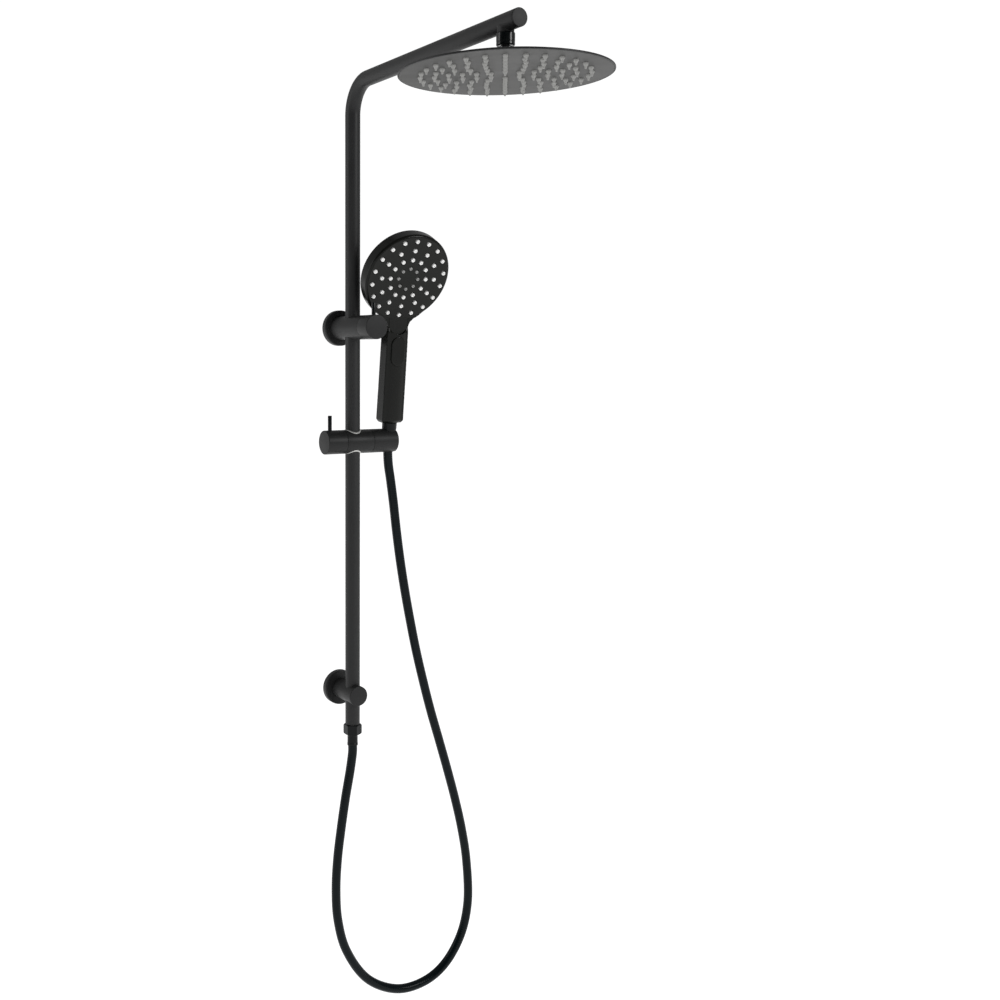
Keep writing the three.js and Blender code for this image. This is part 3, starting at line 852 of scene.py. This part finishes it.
def add_diverter():
    where = bracket(0)
    body = turned(rounded([
        (0, 47), (6.5, 47), (6.5, 3.5), (10.2, 3.5), (10.2, 7.4), (DIVERTER_R, 7.4),
        (DIVERTER_R, DIVERTER_SEAM - GAP, 0.35), (0, DIVERTER_SEAM - GAP),
    ]), 128)
    detail("diverter_body", body, where=where, cuts=[riser_bore()])
    knob = turned(rounded([
        (0, DIVERTER_SEAM), (DIVERTER_R, DIVERTER_SEAM, 0.35), (DIVERTER_R, KNOB_OUT, 0.9),
        (0, KNOB_OUT),
    ], 6), 128)
    at_pin = offset(0, 0, 110.5) @ ALONG_Y.inverted()
    cuts = [moved(pin_bore(), at_pin), grub_bore(99, 3, 25)]
    detail("diverter_knob", knob, where=where, cuts=cuts)
    detail("diverter_pin", pin(35), where=where @ at_pin)


def add_lower_bracket():
    where = bracket(LOWER_Z)
    detail("lower_wall_flange", flange(LOWER_R), where=where)
    anchor = turned(rounded([
        (2.8, 0, 0.2), (20, 0, 0.4), (20, 3, 0.4), (9, 3), (9, 22, 0.5), (5, 22, 0.3), (5, 17),
        (2.8, 17),
    ], 3), 96, ring=True)
    detail("lower_wall_anchor", anchor, where=where)
    body = turned(rounded([
        (0, 24), (9.3, 24), (9.3, 7.4), (LOWER_R, 7.4), (LOWER_R, LOWER_OUT, 0.9), (0, LOWER_OUT),
    ], 6), 128)
    detail("lower_bracket_body", body, where=where, cuts=[riser_bore(), grub_bore(14, 5, 20)])
    spigot = turned(rounded([
        (6.5, -605, 0.3), (9.6, -605, 0.3), (9.6, -597.2), (TUBE_R, -597.2, 0.5),
        (TUBE_R, -556.4), (6.5, -556.4),
    ]), 96, ring=True)
    detail("outlet_spigot", spigot, where=RISER)


def add_slider():
    clamp = moved(turned(rounded([
        (0, -16), (SLIDER_R, -16, 0.35), (SLIDER_R, 28, 0.35), (0, 28),
    ]), 128), ALONG_X)
    pad_bore = moved(rod(5.3, -25, -5, 64), ALONG_X)
    bolt_hole = moved(rod(4.3, 14.7, 40, 48), ALONG_X)
    rail_hole = rod(12.9, -30, 30)
    detail("slider_clamp", clamp, where=SLIDER, cuts=[rail_hole, pad_bore, bolt_hole])
    bush = sleeve(12.6, TUBE_R + 0.1, -25, 25, 96)
    barrel = moved(rod(SLIDER_R + GAP, -30, 30), ALONG_X)
    detail("rail_bush", bush, where=SLIDER, cuts=[pad_bore], keep=[barrel])


def add_lock_knob():
    knob = moved(turned(rounded([
        (0, -47.6), (SLIDER_R, -47.6, 0.9), (SLIDER_R, -16.3, 0.35), (0, -16.3),
    ], 6), 128), ALONG_X)
    at_pin = offset(-38, 0, 0)
    screw_hole = moved(rod(4.3, -32, 0, 48), ALONG_X)
    detail("lock_knob", knob, where=SLIDER, cuts=[moved(pin_bore(), at_pin), screw_hole])
    detail("lock_knob_pin", pin(SLIDER_R + 21.7), where=SLIDER @ at_pin)


def add_cradle():
    cradle = moved(turned(rounded([
        (0, -32.7), (SLIDER_R, -32.7, 0.35), (SLIDER_R, 8.5, 0.9), (0, 8.5),
    ], 6), 128), ALONG_X)
    bore = turned([(0, -25), (9.12, -25), (11.36, 25), (0, 25)], 96)
    mouth = loft([
        [(x, y, z) for x, y in ((0, -7.6), (40, -7.6), (40, 7.6), (0, 7.6))] for z in (-30, 30)
    ])
    bolt_steps = [
        moved(rod(radius, start, end, 64), ALONG_X)
        for radius, start, end in ((10.3, -37, -31.2), (4.3, -37, -1), (6.8, -21.3, -1))
    ]
    detail("holder_cradle", cradle, where=HAND, cuts=[bore, mouth, *bolt_steps])


# Hand shower, in the handle's frame

BEND_START = 48  # distance down the face where it starts to turn into the handle's front
FOLD_R = 45
FACE_R = 64.2
TONGUE_HALF = 15
TONGUE_LOW = -71  # where the tongue's round end starts
FACE_DOWN = Vector((0, math.sin(FACE_TILT), -math.cos(FACE_TILT)))
FACE_OUT = Vector((0, -math.cos(FACE_TILT), -math.sin(FACE_TILT)))


def on_face(x, up, depth):
    """Point of the face, whose lower end turns into the handle's front. up is from its centre."""
    down = -up
    flat = min(down, BEND_START)
    turn = min(max((down - BEND_START) / FOLD_R, 0), FACE_TILT)
    beyond = max(down - BEND_START - FOLD_R * FACE_TILT, 0)
    # Centre of the fold, in front of the face
    centre = HAND_CENTRE + FACE_DOWN * flat + FACE_OUT * FOLD_R
    angle = FACE_TILT - turn
    outward = Vector((0, -math.cos(angle), -math.sin(angle)))
    point = centre - outward * (FOLD_R + depth) + Vector((0, 0, -beyond))
    return point + Vector((x, 0, 0))


def face_outline(grow=0.0):
    """The face's disc with a round-ended tongue down the handle's front."""
    radius, half, low = FACE_R + grow, TONGUE_HALF + grow, TONGUE_LOW
    reach = math.asin(half / radius)
    arc = [
        -math.pi / 2 + reach + (2 * math.pi - 2 * reach) * i / 150 for i in range(151)
    ]
    points = [(radius * math.cos(a), radius * math.sin(a)) for a in arc]
    tongue = [(-half, points[-1][1] + (low - points[-1][1]) * i / 4) for i in range(1, 4)]
    end = [math.pi + math.pi * i / 24 for i in range(25)]
    tongue += [(half * math.cos(a), low + half * math.sin(a)) for a in end]
    tongue += [(half, low + (points[0][1] - low) * i / 4) for i in range(1, 4)]
    return points + tongue


def tongue_grid():
    """Points that let a plate bend where the face turns into the handle."""
    return [(x * 2.0, -BEND_START - y * 0.9) for x in range(-6, 7) for y in range(1, 12)]


def section(half_width, front, back, z, slant=(4.6, 3.6)):
    """Handle section: eight sides, the front one slightly curved."""
    a, b = slant
    flat = half_width - a
    curve = [(flat * i / 4, front + 2.8 * (i / 4) ** 2, z) for i in range(-4, 5)]
    return curve + [
        (half_width, front + b, z), (half_width, back - b, z), (flat, back, z), (-flat, back, z),
        (-half_width, back - b, z), (-half_width, front + b, z),
    ]


def capsule(depths):
    """Upright button outline lofted through (inset, y) levels, centred 135 mm up the handle."""
    rings = []
    for inset, y in depths:
        radius = 11 - inset
        ring = []
        for end, start in ((10.5, 0), (-10.5, math.pi)):
            for i in range(25):
                angle = start + math.pi * i / 24
                ring.append((radius * math.cos(angle), y, 135 + end + radius * math.sin(angle)))
        rings.append(ring)
    return loft(rings)


HAND_RINGS = [(18, 57.5), (12, 43.3), (12, 29.2)]
INNER_RING = [(8, 15.8)]
CONE_FLUTES = 30


def add_handset_shell():
    bowl = moved(turned(rounded([
        (0, -25.5), (58, -25, 8), (HAND_R - 0.1, -21, 5), (HAND_R, -2.6, 1.6),
        (HAND_R - 2.6, 0, 0.8), (0, 0),
    ], 8), 144), HAND_HEAD)
    handle = loft([
        section(15.5, -10.5, 10.5, 27.5, (4.2, 3.3)), section(18, -13.5, 13.5, 31.5),
        section(17.4, -13.5, 13.5, 150), section(17.2, -13.5, 13.5, 163, (4.2, 3.2)),
        section(17, -9.6, 13.5, 177, (3, 2)), section(16.5, -8, 14, 190),
        section(15.8, -12, 12.4, 205), section(15, -16, 9, 218), section(13, -19, -2, 236),
    ])
    flare = [(16.4, 80), (17.0, 76), (18.2, 71.5), (20.5, 67), (25, 63), (33, 58.5), (41, 51)]
    web = loft([
        [
            on_face(x, -down, depth)
            for x, depth in ((-half, 0), (half, 0), (half - 3, 9), (3 - half, 9))
        ]
        for half, down in flare
    ])
    shell = to_mesh("handset_shell_fine", [bowl, handle, web], HAND)
    remesh = shell.modifiers.new("skin", "REMESH")
    remesh.mode = "VOXEL"
    remesh.voxel_size = 0.8 * MM
    smooth = shell.modifiers.new("soften", "SMOOTH")
    smooth.factor = 0.5
    smooth.iterations = 5
    settle(shell)
    seat = plate(face_outline(0.35), (), (-6, 2.7), on_face, tongue_grid(), chamfer=0)
    button_well = capsule([(-0.35, -20), (-0.35, -3)])
    carve(shell, [seat, button_well, rod(9.8, 20, 60)], HAND)
    dress(shell, "handset_shell", 34)


def add_handset_face():
    spots = rings_of_nozzles(HAND_RINGS)
    inner = rings_of_nozzles(INNER_RING)
    holes = [(x, y, 3.8) for x, y in spots] + [(x, y, 3.3) for x, y in inner]
    face = plate(face_outline(), holes, (0, 2.3), on_face, tongue_grid(), chamfer=0.35, sides=24)
    detail("handset_face", face, where=HAND, crease=25)
    head = HAND @ HAND_HEAD
    mats = (
        ("handset_nozzle_mat", sleeve(61.3, 21.6, -5, -2.7), spots, 2.95),
        ("handset_inner_nozzles", rod(21, -5, -2.7), inner, 2.5),
    )
    for node, mat, centres, radius in mats:
        nozzle = turned(rounded([
            (0, -4), (radius, -4), (radius, 1.5, 0.9), (0.75, 1.5, 0.2), (0.75, 0.2), (0, 0.2),
        ], 4), 28)
        detail(node, mat, *[moved(nozzle, offset(x, y, 0)) for x, y in centres], where=head)


def add_spray_button():
    button = capsule([
        (0.5, -10.3), (0, -10.8), (0, -13.4), (0.1, -13.75), (0.35, -13.98), (0.8, -14.08),
        (2.4, -14.1), (6.0, -14.1),
    ])
    detail("spray_button", button, where=HAND, crease=40)


def fluted(radius, height, angle):
    """radius_at for the cone nut's grip."""
    deep = 0.4 if 17.8 < height < 26 and radius > 10 else 0
    return radius - deep * (0.5 + 0.5 * math.cos(CONE_FLUTES * angle))


def add_cone_nut():
    nut = turned(rounded([
        (7.6, -16.5, 0.3), (9.2, -16.5, 0.6), (10.65, 16.6), (10.7, 17.2), (10.85, 18.2),
        (11.2, 26.2), (11.3, 27.3, 0.5), (9.7, 27.3), (9.7, 13.6), (7.6, 13.6),
    ], 4), 240, ring=True, radius_at=fluted)
    detail("hose_cone_nut", nut, where=HAND)


def finish_inner_nodes():
    """The CAD nodes that stay keep their shape and take their slot's look."""
    for node, obj in frame["nodes"].items():
        obj.data.materials.clear()
        obj.data.materials.append(LOOKS[SLOT_OF[node]])


add_camera()
add_hose()
add_studio()
add_floor()
add_tubes()
add_arm_outlet()
add_rain_head()
add_inlet()
add_diverter()
add_lower_bracket()
add_slider()
add_lock_knob()
add_cradle()
add_handset_shell()
add_handset_face()
add_spray_button()
add_cone_nut()
finish_inner_nodes()
